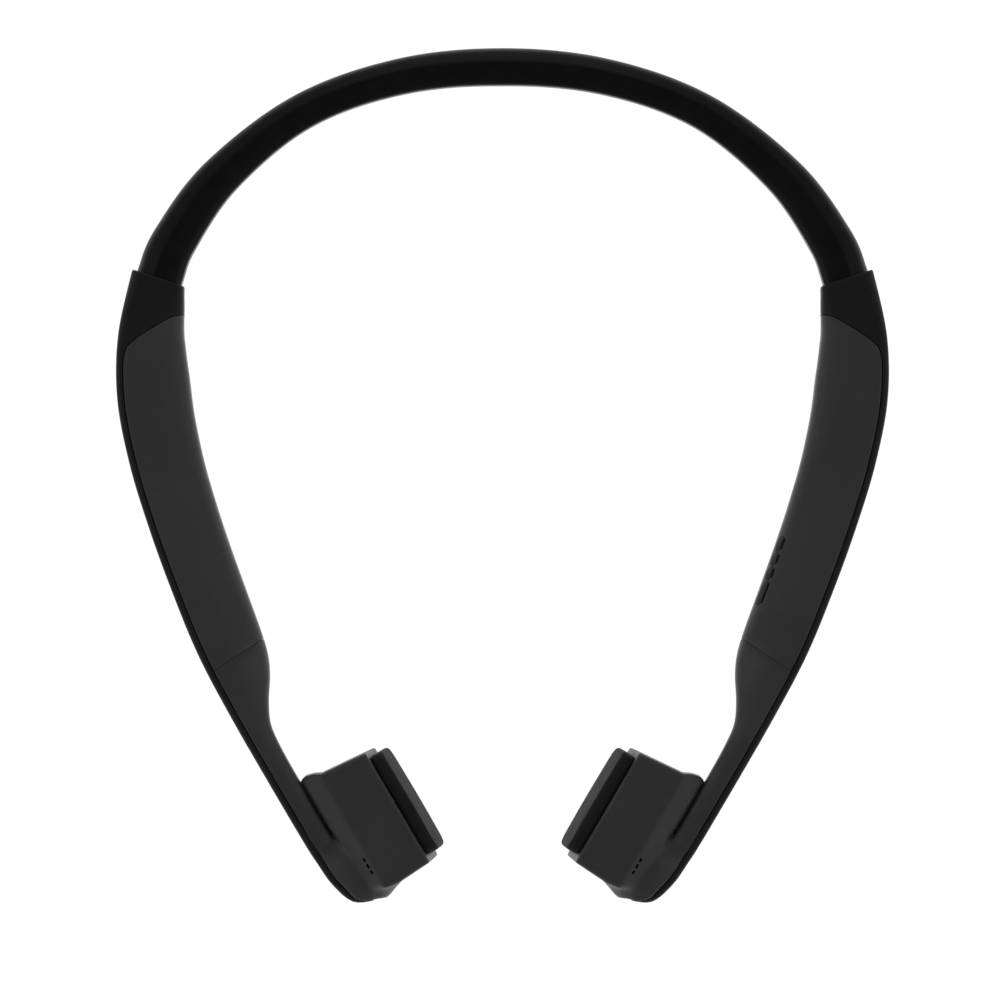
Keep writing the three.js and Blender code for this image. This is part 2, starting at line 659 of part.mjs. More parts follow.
function addLeftArm() {
  const shell = cut(innerShell(), ...addKeys());
  const board = spanFrame(...BOARD_SPAN, BOARD_DEPTH, 0.3);
  addMesh('main_board', 'board', centredBox(board, [0, 0, 0], BOARD));
  const face = -BOARD[1] / 2 - GAP;
  const radioAt = [RADIO_AT, face - RADIO[1] / 2, 0.4];
  const antennaAt = [ANTENNA_AT, face - ANTENNA[1] / 2, 1.6];
  const socketAt = [USB_SOCKET_AT, face - USB_SOCKET[1] / 2, -USB_SOCKET_DROP];
  addMesh('bluetooth_module', 'chip', centredBox(board, radioAt, RADIO));
  addMesh('antenna', 'ceramic', centredBox(board, antennaAt, ANTENNA));
  const [length, width, height] = USB_SOCKET;
  const mouth = [length - 2 * USB_SOCKET_WALL, width - 2 * USB_SOCKET_WALL, height];
  const mouthAt = [socketAt[0], socketAt[1], socketAt[2] - 0.8];
  addMesh('usb_socket', 'steel', cut(
    centredBox(board, socketAt, USB_SOCKET),
    centredBox(board, mouthAt, mouth),
  ));
  addUnderside(shell, board, socketAt);
}

// Flap over the charging socket, status light and microphone, in the underside of the casing.
function addUnderside(shell, board, socketAt) {
  const seat = new THREE.Vector3(socketAt[0], socketAt[1], 0).applyMatrix4(board);
  const along = new THREE.Vector3().setFromMatrixColumn(board, 0).setZ(0).normalize();
  const outward = new THREE.Vector3(0, 0, 1).cross(along);
  const base = new THREE.Matrix4().makeBasis(along, outward, podUp).setPosition(seat.x, seat.y, 0);
  const [length, width, thickness] = USB_COVER;
  const ceiling = USB_COVER_LIFT + thickness + 0.1;
  const recess = centredBox(base, [0, 0, 0], [length + 2 * GAP, width + 2 * GAP, 2 * ceiling]);
  const throat = centredBox(base, [0, 0, 2], USB_THROAT);
  const lightHole = [LIGHT[0] + 2 * GAP, LIGHT[1] + 2 * GAP, 4];
  addMesh('left_inner_shell', 'shell', cut(
    shell,
    recess,
    throat,
    centredBox(base, [LIGHT_AT, 0, 1], lightHole),
    centredBox(base, [MICROPHONE_AT, 0, 1], SOUND_HOLE),
  ));
  const flap = centredBox(base, [0, 0, USB_COVER_LIFT + thickness / 2], USB_COVER);
  const plug = centredBox(base, [0, 0, USB_COVER_LIFT + thickness + 0.3], USB_PLUG);
  addMesh('usb_cover', 'pad', flap.add(plug));
  addMesh('status_light', 'lens', centredBox(base, [LIGHT_AT, 0, 1.3], LIGHT));
  const above = new THREE.Vector3(MICROPHONE_AT, 0, 0).applyMatrix4(base);
  const floor = midHeight(above.y) - ARM_MID + WALL;
  addMesh('microphone', 'chip', centredBox(base, [MICROPHONE_AT, 0, floor + 1.1], MICROPHONE));
}

// Housing of the transducer: a box that opens towards the cheek, and the knuckle at the arm's tip.
function podHousing() {
  const slitPairs = stations(SLIT_START, ARM_END + NECK_GAP, 3).reverse().map((distance) => {
    const open = THREE.MathUtils.clamp((ARM_END - distance) / (ARM_END - SLIT_START), 0, 1);
    return [distance, armWidth(distance) + THREE.MathUtils.lerp(SLIT[1], SLIT[0], open)];
  });
  const slitPoints = slitPairs.map(([distance, depth]) => armPoint(distance, depth, 0));
  const outline = [
    ...POD_FRONT.slice().reverse().map(([f, a]) => podPoint(f, a)),
    ...slitPoints.map((point) => [point.x, point.y]),
    ...POD_REAR.slice().reverse().map(([f, a]) => podPoint(f, a)),
  ];
  const box = podSlab(32).intersect(chamferedPrism(outline, 0, POD_HEIGHT, POD_EDGE));
  const knuckle = armOutline([
    [ARM_END + NECK_GAP, armWidth(ARM_END) + SLIT[1]],
    [ARM_END + NECK_GAP, SPINE + GAP],
    [TIP_COVER_END, SPINE + GAP],
    [TIP_COVER_END + GAP, 0.2],
    [TIP_END, 0.2],
  ], 2);
  knuckle.push(...KNUCKLE_FRONT.map(([f, a]) => podPoint(f, a)));
  const [height, chamfer] = KNUCKLE;
  const low = POD_MID - height / 2;
  const joined = box.add(chamferedPrism(knuckle, low, low + height, chamfer));
  const frame = padFrame();
  const mouthCut = centredBox(frame, [10, 0, 0], [20, 60, 60]);
  const [depth, length, tall] = CAVITY;
  const cavity = boxIn(frame, [-depth, -length / 2, -tall / 2], [2, length / 2, tall / 2]);
  return cut(joined, mouthCut, cavity);
}

// The pod's side profile, with its sloping back, drawn out along the pod.
function podSlab(length) {
  const top = POD_HEIGHT;
  const [slopeStart, slopeEnd, drop] = POD_BACK_SLOPE;
  const side = new THREE.Shape();
  side.moveTo(4, 0);
  side.lineTo(slopeStart, 0);
  side.lineTo(slopeEnd, drop);
  side.lineTo(slopeEnd, top - drop);
  side.lineTo(slopeStart, top);
  side.lineTo(4, top);
  const geometry = new THREE.ExtrudeGeometry(side, { depth: length, bevelEnabled: false });
  const backwards = podAlong.clone().negate();
  const [x, y] = podPoint(0, length / 2);
  geometry.applyMatrix4(
    new THREE.Matrix4().makeBasis(podFacing, podUp, backwards).setPosition(x, y, 0),
  );
  return toSolid(indexed(geometry));
}

function addPod() {
  addPair('pod_housing', 'shell', podHousing());
  addPair('tip_cover', 'cover', armLoft(ARM_END + NECK_GAP, TIP_COVER_END, 2.5, (distance) => {
    const half = armHeight(distance) / 2;
    return roundedRing(0, SPINE, -half, half, 0.45, 0.1);
  }));
  const frame = padFrame();
  const plate = (size, y) => plateIn(frame, size, y);
  const bar = ({ from, to, radius }) => barIn(frame, from, to, radius);
  const bore = ({ from, to, bore: radius }, floor = -1) => barIn(frame, from + floor, to + 1, radius);
  addPair('pad_frame', 'cover', cut(plate(PAD_FRAME), plate(PAD_FRAME_OPENING)));
  addPair('pad', 'pad', plate(PAD).add(plate(PAD_BOSS)));
  addPair('vibration_plate', 'steel', plate(VIBRATION_PLATE));
  addPair('suspension_spring', 'steel', cut(
    plate(SUSPENSION),
    plate(SUSPENSION_SLOT, -SUSPENSION_SLOT_AT),
    plate(SUSPENSION_SLOT, SUSPENSION_SLOT_AT),
  ));
  addPair('voice_coil', 'copper', cut(bar(VOICE_COIL), bore(VOICE_COIL)));
  addPair('magnet', 'magnet', bar(MAGNET));
  addPair('yoke', 'steel', cut(bar(YOKE), bore(YOKE, YOKE.floor)));
}

addNeckband();
addBandSide();
addOuterCover();
addHook();
addLeftArm();
addRightArm();
addPod();

export default group;
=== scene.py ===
import json
import math

import bpy
import numpy as np
from mathutils import Matrix, Vector


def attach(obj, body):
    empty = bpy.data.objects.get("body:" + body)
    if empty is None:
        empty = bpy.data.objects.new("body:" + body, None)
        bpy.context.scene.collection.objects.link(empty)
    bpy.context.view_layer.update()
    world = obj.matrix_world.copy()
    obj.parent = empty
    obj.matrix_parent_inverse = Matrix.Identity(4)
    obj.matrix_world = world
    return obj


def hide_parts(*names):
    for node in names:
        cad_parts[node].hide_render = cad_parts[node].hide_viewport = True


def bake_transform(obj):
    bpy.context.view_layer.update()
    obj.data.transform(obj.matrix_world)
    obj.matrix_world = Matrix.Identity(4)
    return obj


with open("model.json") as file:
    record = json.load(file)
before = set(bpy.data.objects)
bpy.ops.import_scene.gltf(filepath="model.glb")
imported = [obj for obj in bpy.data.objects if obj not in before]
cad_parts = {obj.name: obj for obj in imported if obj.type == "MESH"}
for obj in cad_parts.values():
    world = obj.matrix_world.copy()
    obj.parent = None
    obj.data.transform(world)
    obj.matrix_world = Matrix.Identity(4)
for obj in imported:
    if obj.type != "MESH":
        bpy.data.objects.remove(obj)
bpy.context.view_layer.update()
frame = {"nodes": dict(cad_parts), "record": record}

# Shapes are worked out in millimetres and turned into metres when a mesh is made.
MM = 0.001
GAP = 0.3  # clearance between neighbouring pieces
SIDES = {"left": 1, "right": -1}

# ---------- driving dimensions, as in the CAD part ----------

# Outer edge of the neckband's left half, from the back of the head to its tongue in the sleeve.
BAND_EDGE = [
    (0, 81.15), (20.2, 79.1), (39.7, 72.1), (56.5, 59.4), (66.1, 46.7),
    (69.35, 39.0), (70.9, 33.0), (71.9, 26.5), (72.1, 14.0),
]
BAND_THICKNESS = [(0, 7.2), (41, 6.9), (73, 8.4), (86, 8.9), (112, 8.9)]
BAND_HEIGHT = [(0, 9.4), (55, 9.6), (86, 11.2), (112, 11.2)]
BAND_MOUTH = 86.54  # where the band enters the sleeve
TONGUE_LENGTH = 7

# Outer edge of the left arm, from the mouth of the sleeve to the tip below the pod.
ARM_EDGE = [
    (70.3, 39.05), (72.95, 26.6), (73.1, 14.4), (70.75, 2.0), (67.05, -10.0),
    (62.6, -22.1), (57.6, -34.1), (51.4, -46.0), (44.7, -57.8), (38.0, -69.2),
    (35.2, -73.6), (32.2, -77.8), (28.2, -81.0), (23.4, -80.5),
]
ARM_WIDTH = [
    (0, 10.3), (10, 12.2), (20, 13.7), (27, 14.0), (50, 13.45), (70, 13.0), (78, 12.55),
    (82, 11.9), (86, 10.2), (90, 7.8), (94, 6.0), (98, 5.45), (105, 5.25), (120, 5.25),
]
ARM_HEIGHT = [
    (0, 12.6), (12, 14.2), (20, 15), (70, 15), (80, 13.6), (88, 10.4), (95, 8.8), (117, 9.0),
    (137, 7.6),
]
ARM_MID, HOOK_MID, POD_MID = 7.5, 16, 12  # height of the middle line at arm, hook and pod
HOOK_RISE = (8, -40)
HOOK_FALL = (-40, -66)
SPINE = 1.15
WALL = 1.6
SLEEVE_SEAM = [
    (6.3, 11.2), (7.05, 9.6), (8.3, 8.15), (12.9, 3.65), (14.9, 1.9), (17.4, SPINE + 0.15),
]
PARTING = 79.5
ARM_END = 117.05

POD_CENTRE = np.array([20.25, -62.7])
POD_ALONG = np.array([-0.507, -0.862]) / math.hypot(0.507, 0.862)
POD_FACING = np.array([POD_ALONG[1], -POD_ALONG[0]])
POD_HEIGHT = 19
POD_TILT = 0.1
SLIT_START = 106.4
SLIT = (0.3, 0.28)
TIP_END = 135.6  # the spine thins out to nothing here
POD_REAR = [(3.6, -11.2), (0.2, -11.6), (-9.0, -12.4), (-10.4, -13.1), (-11.9, -13.5)]
POD_FRONT = [(-12.0, 11.0), (-9.5, 12.6), (-7.2, 12.9), (3.6, 12.3)]
KNUCKLE_AT = (-12.2, 6.9)  # facing, along
KNUCKLE_SIZE = (6.8, 7.4, 5.5)  # half sizes: facing, along, up
CAVITY = (11.5, 20, 15.2)
PAD_SIZE = (2.6, 20.8, 16.4)

# Keys on the left arm: start and length along it.
KEYS = {
    "volume_up": (56.4, 3.0), "play": (59.75, 2.6), "volume_down": (62.7, 2.6), "power": (65.65, 4.9),
}
KEY_PROUD, KEY_LENGTH, KEY_ROW_INSET = 0.25, 3.0, 1.15
KEY_LOW, KEY_HIGH = -1.45, -0.28  # edges of the caps, below and above the arm's rounded edge
KEY_SLOT_INSET, KEY_SLOT_WIDTH = 1.16, 0.46  # shadow gap above each key

# Underside of the left arm.
SOCKET_SPAN, SOCKET_DEPTH = (21, 47), 5.6
SOCKET_AT, FACE_DROP = -3.4, 2.0
FLAP_SIZE, FLAP_LIFT = (10.4, 4.6, 0.8), 0.15
LIGHT_AT, MICROPHONE_AT = -9.5, 9.5


# ---------- paths and profiles ----------

def profile(knots):
    """Smooth curve through (position, value) pairs, level beyond both ends."""
    x = np.array([k[0] for k in knots], float)
    y = np.array([k[1] for k in knots], float)
    before = np.maximum(np.arange(len(x)) - 1, 0)
    after = np.minimum(np.arange(len(x)) + 1, len(x) - 1)
    slopes = (y[after] - y[before]) / (x[after] - x[before])

    def value(at):
        at = np.clip(np.asarray(at, float), x[0], x[-1])
        i = np.clip(np.searchsorted(x, at, side="right") - 1, 0, len(x) - 2)
        span = x[i + 1] - x[i]
        t = (at - x[i]) / span
        bend = slopes[i] * t * (1 - t) ** 2 - slopes[i + 1] * t * t * (1 - t)
        return y[i] + (y[i + 1] - y[i]) * t * t * (3 - 2 * t) + bend * span

    return value


def smoothstep(x, low, high):
    t = np.clip((x - low) / (high - low), 0, 1)
    return t * t * (3 - 2 * t)


class Path:
    """Smooth plane curve through points, measured along its length."""

    def __init__(self, points, per_span=160):
        points = np.array(points, float)
        count = len(points) - 1
        t = np.linspace(0, count, count * per_span + 1)
        i = np.minimum(t.astype(int), count - 1)
        w = (t - i)[:, None]
        p0, p1 = points[np.maximum(i - 1, 0)], points[i]
        p2, p3 = points[i + 1], points[np.minimum(i + 2, count)]
        v0, v1 = (p2 - p0) / 2, (p3 - p1) / 2
        cubic, square = 2 * p1 - 2 * p2 + v0 + v1, -3 * p1 + 3 * p2 - 2 * v0 - v1
        self.points = (cubic * w + square) * w * w + v0 * w + p1
        steps = np.linalg.norm(np.diff(self.points, axis=0), axis=1)
        self.lengths = np.concatenate([[0], np.cumsum(steps)])
        along = np.gradient(self.points, self.lengths, axis=0)
        self.along = along / np.linalg.norm(along, axis=1)[:, None]

    def at(self, distance, depth):
        """Plan points at distances along the curve and depths inwards from it."""
        distance, depth = np.broadcast_arrays(distance, depth)
        x, y = (np.interp(distance, self.lengths, self.points[:, k]) for k in (0, 1))
        tx, ty = (np.interp(distance, self.lengths, self.along[:, k]) for k in (0, 1))
        return x + ty * depth, y - tx * depth

    def locate(self, x, y):
        """Distance along the curve and depth from it, of plan points near it."""
        step = 8
        coarse = self.points[::step]
        flat = np.stack([np.ravel(x), np.ravel(y)], 1)
        nearest = np.empty(len(flat), int)
        for k in range(0, len(flat), 20000):
            gap = flat[k:k + 20000, None] - coarse[None]
            nearest[k:k + 20000] = np.argmin((gap ** 2).sum(2), 1) * step
        nearest = np.clip(nearest, 0, len(self.points) - 1)
        offset = flat - self.points[nearest]
        along = self.along[nearest]
        distance = self.lengths[nearest] + (offset * along).sum(1)
        depth = offset[:, 0] * along[:, 1] - offset[:, 1] * along[:, 0]
        return distance.reshape(np.shape(x)), depth.reshape(np.shape(x))


mirrored_edge = [(-x, y) for x, y in BAND_EDGE[:0:-1]]
band_path = Path(mirrored_edge + BAND_EDGE)
BAND_HALF = band_path.lengths[-1] / 2
arm_path = Path(ARM_EDGE)
band_thickness, band_height = profile(BAND_THICKNESS), profile(BAND_HEIGHT)
arm_width, arm_height = profile(ARM_WIDTH), profile(ARM_HEIGHT)


def mid_height(y):
    """Height of the arm's middle line, which climbs over the ear and comes down to the cheek."""
    rise = smoothstep(-y, -HOOK_RISE[0], -HOOK_RISE[1])
    fall = smoothstep(-y, -HOOK_FALL[0], -HOOK_FALL[1])
    return ARM_MID + (HOOK_MID - ARM_MID) * rise + (POD_MID - HOOK_MID) * fall


def band_points(distance, ring):
    x, y = band_path.at(BAND_HALF + distance, ring[:, 0])
    return np.stack([x, y, ARM_MID + ring[:, 1]], 1)


def arm_points(distance, ring):
    x, y = arm_path.at(distance, ring[:, 0])
    return np.stack([x, y, mid_height(y) + ring[:, 1]], 1)


def unit(vector):
    return vector / np.linalg.norm(vector)


def span_frame(start, end, depth, height):
    """Frame of a straight item inside the arm: X along it, Y outwards, Z up."""
    a, b = (arm_points(d, np.array([(depth, height)]))[0] for d in (start, end))
    along = unit(b - a)
    outward = unit(np.cross((0, 0, 1), along))
    return frame_matrix(along, outward, np.cross(along, outward), (a + b) / 2)


def frame_matrix(x, y, z, origin):
    matrix = np.eye(4)
    matrix[:3, 0], matrix[:3, 1], matrix[:3, 2], matrix[:3, 3] = x, y, z, origin
    return matrix


def placed(points, matrix):
    return np.asarray(points) @ matrix[:3, :3].T + matrix[:3, 3]


# ---------- meshes ----------

def make_object(name, vertices, faces, side=1, sharp=50):
    """Mesh from millimetre points; side -1 mirrors it to the wearer's right."""
    vertices = np.array(vertices, float) * MM
    if side < 0:
        vertices[:, 0] *= -1
        faces = [face[::-1] for face in faces]
    mesh = bpy.data.meshes.new(name)
    mesh.from_pydata(vertices.tolist(), [], [list(map(int, face)) for face in faces])
    mesh.validate()
    mesh.shade_smooth()
    mesh.set_sharp_from_angle(angle=math.radians(sharp))
    obj = bpy.data.objects.new(name, mesh)
    bpy.context.scene.collection.objects.link(obj)
    return obj


def loft(name, rings, side=1, sharp=50):
    """Closed mesh through rings that all have the same number of points."""
    rings = np.array(rings)
    rows, count = rings.shape[:2]
    vertices = rings.reshape(-1, 3)
    faces = []
    for r in range(rows - 1):
        a = r * count + np.arange(count)
        b = r * count + (np.arange(count) + 1) % count
        faces += np.stack([a, b, b + count, a + count], 1).tolist()
    last = (rows - 1) * count
    faces.append(list(range(count))[::-1])
    faces.append(list(range(last, last + count)))
    if volume(vertices, faces) < 0:
        faces = [face[::-1] for face in faces]
    return make_object(name, vertices, faces, side, sharp)


def volume(vertices, faces):
    total = 0.0
    centre = vertices.mean(0)
    for face in faces:
        p = vertices[face] - centre
        for k in range(1, len(face) - 1):
            total += np.dot(p[0], np.cross(p[k], p[k + 1]))
    return total


def stations(start, end, step):
    return np.linspace(start, end, max(2, int(round(abs(end - start) / step)) + 1))


def corner_drop(depth, radius):
    """How far a rounded edge falls at a depth from that edge."""
    inside = np.clip((radius - depth) / radius, 0, 1)
    return radius * (1 - np.sqrt(1 - inside ** 2))


LIP = 0.5  # depth of the tongue and groove along the seam between cover and casing
SEAM_ROUNDING = 0.3


def inner_drop(distance, depth):
    """How far the arm's top falls towards its inner edge: a slow crown, then a rounded edge."""
    width = arm_width(distance)
    crown = np.interp(distance, (0, 10, 85, 100), (0.3, 1.5, 1.5, 0.8))
    share = np.clip((depth / width - 0.35) / 0.65, 0, 1)
    edge = np.interp(distance, (0, 10, 80, 100), (1.4, 1.9, 1.9, 0.7))
    return crown * share ** 2 + corner_drop(width - depth, edge)


def arm_section(distance, start, end, count=34, shrink=0.0, groove=False, tongue=False):
    """Ring across the arm between two depths; seam edges are rounded and meet in a tongue."""
    half = float(arm_height(distance)) / 2
    t = 0.5 - 0.5 * np.cos(np.linspace(0, math.pi, count))
    u = start + (end - start) * t
    outer = float(np.interp(distance, (0, 16), (2.0, 1.0)))
    drop = corner_drop(u, outer) + inner_drop(distance, u)
    if groove:
        drop = drop + corner_drop(u - start, SEAM_ROUNDING)
    if tongue:
        drop = drop + corner_drop(end - u, SEAM_ROUNDING)
    z = np.maximum(half - drop, 0.3)
    if shrink:
        middle = (start + end) / 2
        u = middle + (u - middle) * (1 - 2 * shrink / max(end - start, 1e-3))
        z = z - shrink
    reach = 0.3 * half
    right = lip_points(u[-1], reach - 0.06, LIP * tongue)
    left = lip_points(u[0], -reach, (LIP + 0.06) * groove)
    top, bottom = np.stack([u, z], 1), np.stack([u, -z], 1)[::-1]
    return np.concatenate([top, right, bottom, left])


def lip_points(at, reach, depth):
    return np.array([(at, reach), (at + depth, reach), (at + depth, -reach), (at, -reach)])


def smooth_ring(corners, rounds=3):
    """Chaikin corner cutting of a closed ring."""
    ring = np.array(corners, float)
    for _ in range(rounds):
        after = np.roll(ring, -1, axis=0)
        ring = np.stack([0.78 * ring + 0.22 * after, 0.22 * ring + 0.78 * after], 1).reshape(-1, 2)
    return ring


BAND_HALF_SECTION = [
    (0, 0.25), (0.015, 0.58), (0.1, 0.82), (0.32, 0.97), (0.42, 1.0), (0.82, 0.94), (0.985, 0.86),
    (1.0, 0.6), (1.0, 0.3),
]


def band_ring(distance, grow=0.0):
    """The band's section: rounded outer face, a ridge above and below, flatter towards the head."""
    thickness = float(band_thickness(distance)) + 2 * grow
    half = float(band_height(distance)) / 2 + grow
    upper = [(u, z) for u, z in BAND_HALF_SECTION]
    ring = smooth_ring(upper + [(u, -z) for u, z in upper[::-1]])
    return np.stack([ring[:, 0] * thickness - grow, ring[:, 1] * half], 1)


# ---------- rounded solids from a distance field ----------

def surface_nets(field, low, high, step):
    """Closed quad mesh of the zero level of field(x, y, z), with its points drawn onto the level."""
    axes = [np.arange(low[k], high[k] + step, step) for k in range(3)]
    grid = np.meshgrid(*axes, indexing="ij")
    value = field(*grid)
    inside = value < 0
    shape = np.array(inside.shape)
    cells = tuple(shape - 1)
    corner = [(i, j, k) for i in (0, 1) for j in (0, 1) for k in (0, 1)]

    def take(a, c):
        return a[c[0]:c[0] + cells[0], c[1]:c[1] + cells[1], c[2]:c[2] + cells[2]]

    total = sum(take(inside, c).astype(int) for c in corner)
    mixed = (total > 0) & (total < 8)
    index = np.full(cells, -1)
    index[mixed] = np.arange(mixed.sum())
    weight = np.zeros(mixed.sum())
    position = np.zeros((mixed.sum(), 3))
    cell = np.argwhere(mixed)
    for a in corner:
        for axis in range(3):
            if a[axis]:
                continue
            b = list(a)
            b[axis] = 1
            va, vb = take(value, a)[mixed], take(value, b)[mixed]
            crossing = (va < 0) != (vb < 0)
            t = np.where(crossing, va / np.where(va == vb, 1, va - vb), 0)
            point = np.array(a, float) + t[:, None] * (np.array(b) - np.array(a))
            position += np.where(crossing[:, None], point, 0)
            weight += crossing
    points = np.array(low) + step * (cell + position / weight[:, None])
    faces = []
    for axis in range(3):
        b, c = (axis + 1) % 3, (axis + 2) % 3
        lower = [slice(None)] * 3
        upper = [slice(None)] * 3
        lower[axis], upper[axis] = slice(0, -1), slice(1, None)
        first, second = inside[tuple(lower)], inside[tuple(upper)]
        edge = np.argwhere(first != second)
        edge = edge[(edge[:, b] > 0) & (edge[:, c] > 0)]
        edge = edge[(edge[:, b] < cells[b]) & (edge[:, c] < cells[c])]
        flip = second[tuple(edge.T)]
        quad = []
        for db, dc in ((1, 1), (0, 1), (0, 0), (1, 0)):
            at = edge.copy()
            at[:, b] -= db
            at[:, c] -= dc
            quad.append(index[tuple(at.T)])
        quad = np.stack(quad, 1)
        quad[flip] = quad[flip][:, ::-1]
        faces.append(quad)
    faces = np.concatenate(faces)
    tiny = 0.02
    for _ in range(4):
        here = field(*points.T)
        slope = np.stack([
            (field(*(points + nudge).T) - field(*(points - nudge).T)) / (2 * tiny)
            for nudge in tiny * np.eye(3)
        ], 1)
        move = np.clip(here / np.maximum((slope ** 2).sum(1), 0.2), -step, step)
        points = points - slope * move[:, None]
    return points, faces


def smooth_max(a, b, radius):
    h = np.maximum(radius - np.abs(a - b), 0) / radius
    return np.maximum(a, b) + h * h * radius / 4


def smooth_min(a, b, radius):
    return -smooth_max(-a, -b, radius)


def polygon_distance(x, y, outline):
    """Signed distance to a closed outline, negative inside."""
    px, py = np.ravel(x), np.ravel(y)
    nearest = np.full(px.shape, 1e18)
    crossings = np.zeros(px.shape, bool)
    points = np.array(outline, float)
    for (ax, ay), (bx, by) in zip(points, np.roll(points, -1, axis=0)):
        ex, ey = bx - ax, by - ay
        wx, wy = px - ax, py - ay
        t = np.clip((wx * ex + wy * ey) / (ex * ex + ey * ey), 0, 1)
        nearest = np.minimum(nearest, (wx - t * ex) ** 2 + (wy - t * ey) ** 2)
        over = ((ay <= py) != (by <= py))
        side = ex * wy - ey * wx
        crossings ^= over & ((side > 0) == (by > ay))
    return (np.sqrt(nearest) * np.where(crossings, -1, 1)).reshape(np.shape(x))


# ---------- materials ----------

def new_material(name, color, roughness, metallic=0.0, specular=0.5):
    material = bpy.data.materials.new(name)
    material.use_nodes = True
    shader = material.node_tree.nodes["Principled BSDF"]
    shader.inputs["Base Color"].default_value = (*color, 1)
    shader.inputs["Roughness"].default_value = roughness
    shader.inputs["Metallic"].default_value = metallic
    shader.inputs["Specular IOR Level"].default_value = specular
    return material, material.node_tree, shader


def node(tree, kind, **inputs):
    made = tree.nodes.new(kind)
    for key, value in inputs.items():
        made.inputs[key.replace("_", " ")].default_value = value
    return made


def noise(tree, scale, detail=4.0, roughness=0.6):
    coordinates = tree.nodes.new("ShaderNodeTexCoord")
    made = node(tree, "ShaderNodeTexNoise", Scale=scale, Detail=detail, Roughness=roughness)
    tree.links.new(coordinates.outputs["Object"], made.inputs["Vector"])
    return made.outputs["Fac"]


def ramp(tree, source, low, high, start=0.35, end=0.65):
    made = tree.nodes.new("ShaderNodeMapRange")
    made.inputs["From Min"].default_value = start
    made.inputs["From Max"].default_value = end
    made.inputs["To Min"].default_value = low
    made.inputs["To Max"].default_value = high
    tree.links.new(source, made.inputs["Value"])
    return made.outputs["Result"]


def vary_color(tree, shader, color, source, spread):
    """Base colour that wanders a little darker and lighter."""
    mix = tree.nodes.new("ShaderNodeMix")
    mix.data_type = "RGBA"
    mix.inputs[6].default_value = (*[c * (1 - spread) for c in color], 1)
    mix.inputs[7].default_value = (*[c * (1 + spread) for c in color], 1)
    tree.links.new(source, mix.inputs[0])
    tree.links.new(mix.outputs[2], shader.inputs["Base Color"])


def add_bump(tree, shader, source, strength, distance):
    bump = node(tree, "ShaderNodeBump", Strength=strength, Distance=distance)
    tree.links.new(source, bump.inputs["Height"])
    tree.links.new(bump.outputs["Normal"], shader.inputs["Normal"])


def moulded(name, color, roughness, grain=2600, spread=0.08, bump=0.12, specular=0.5):
    """Moulded plastic or rubber: fine spark-eroded grain, slow colour drift and handling marks."""
    material, tree, shader = new_material(name, color, roughness, specular=specular)
    vary_color(tree, shader, color, ramp(tree, noise(tree, 90, 5.0), 0, 1, 0.3, 0.7), spread)
    rubbed = ramp(tree, noise(tree, 240, 6.0, 0.7), roughness - 0.06, roughness + 0.06, 0.3, 0.7)
    tree.links.new(rubbed, shader.inputs["Roughness"])
    add_bump(tree, shader, noise(tree, grain, 3.0, 0.55), bump, 0.00006)
    return material


def brushed(name, color, roughness, stretch=(1, 1, 30)):
    """Metal with fine lines from rolling or grinding."""
    material, tree, shader = new_material(name, color, roughness, metallic=1.0)
    coordinates = tree.nodes.new("ShaderNodeTexCoord")
    mapping = tree.nodes.new("ShaderNodeMapping")
    mapping.inputs["Scale"].default_value = stretch
    lines = node(tree, "ShaderNodeTexNoise", Scale=400, Detail=5.0, Roughness=0.6)
    tree.links.new(coordinates.outputs["Object"], mapping.inputs["Vector"])
    tree.links.new(mapping.outputs["Vector"], lines.inputs["Vector"])
    worn = ramp(tree, lines.outputs["Fac"], roughness - 0.1, roughness + 0.15)
    tree.links.new(worn, shader.inputs["Roughness"])
    vary_color(tree, shader, color, noise(tree, 120), 0.1)
    add_bump(tree, shader, lines.outputs["Fac"], 0.15, 0.00003)
    return material


MATERIALS = {
    "band_rubber": moulded(
        "band_rubber", (0.0022, 0.0022, 0.0023), 0.36, grain=3600, bump=0.06, specular=0.2),
    "black_cover": moulded("black_cover", (0.0105, 0.0105, 0.0107), 0.5, bump=0.1, specular=0.16),
    "grey_casing": moulded("grey_casing", (0.041, 0.041, 0.0414), 0.42, bump=0.14, specular=0.28),
    "key_plastic": moulded("key_plastic", (0.039, 0.039, 0.0393), 0.45, bump=0.1, specular=0.24),
    "pad_silicone": moulded(
        "pad_silicone", (0.019, 0.019, 0.0193), 0.55, grain=3000, bump=0.08, specular=0.03),
    "spring_steel": brushed("spring_steel", (0.56, 0.56, 0.57), 0.3),
    "magnet_steel": brushed("magnet_steel", (0.6, 0.59, 0.57), 0.22, (8, 8, 8)),
    "copper_wire": brushed("copper_wire", (0.72, 0.36, 0.19), 0.35, (30, 30, 1)),
    "lead_jacket": moulded("lead_jacket", (0.03, 0.03, 0.034), 0.6),
    "circuit_board": moulded("circuit_board", (0.012, 0.07, 0.03), 0.35, spread=0.3, bump=0.05),
    "plated_metal": brushed("plated_metal", (0.6, 0.6, 0.6), 0.3, (6, 6, 6)),
    "ceramic_chip": moulded("ceramic_chip", (0.6, 0.57, 0.5), 0.5, spread=0.15),
    "battery_foil": brushed("battery_foil", (0.62, 0.63, 0.65), 0.35, (4, 20, 4)),
    "foam_strip": moulded("foam_strip", (0.04, 0.04, 0.042), 0.95, grain=1500, bump=0.8),
    "light_lens": moulded("light_lens", (0.7, 0.74, 0.78), 0.12, spread=0.03, bump=0.02),
}


def dress(obj, slot_name):
    obj.data.materials.clear()
    obj.data.materials.append(MATERIALS[slot_name])
    return obj


# ---------- neckband ----------

BAND_BEND = (14, 80)  # the stretch of the band, along its length, over which it bends; blend_band finds edge points there but does not bend the band


def blend_band(obj):
    for distance in BAND_BEND:
        x, y = band_path.at(BAND_HALF + distance, float(band_thickness(distance)) / 2)
    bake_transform(obj)


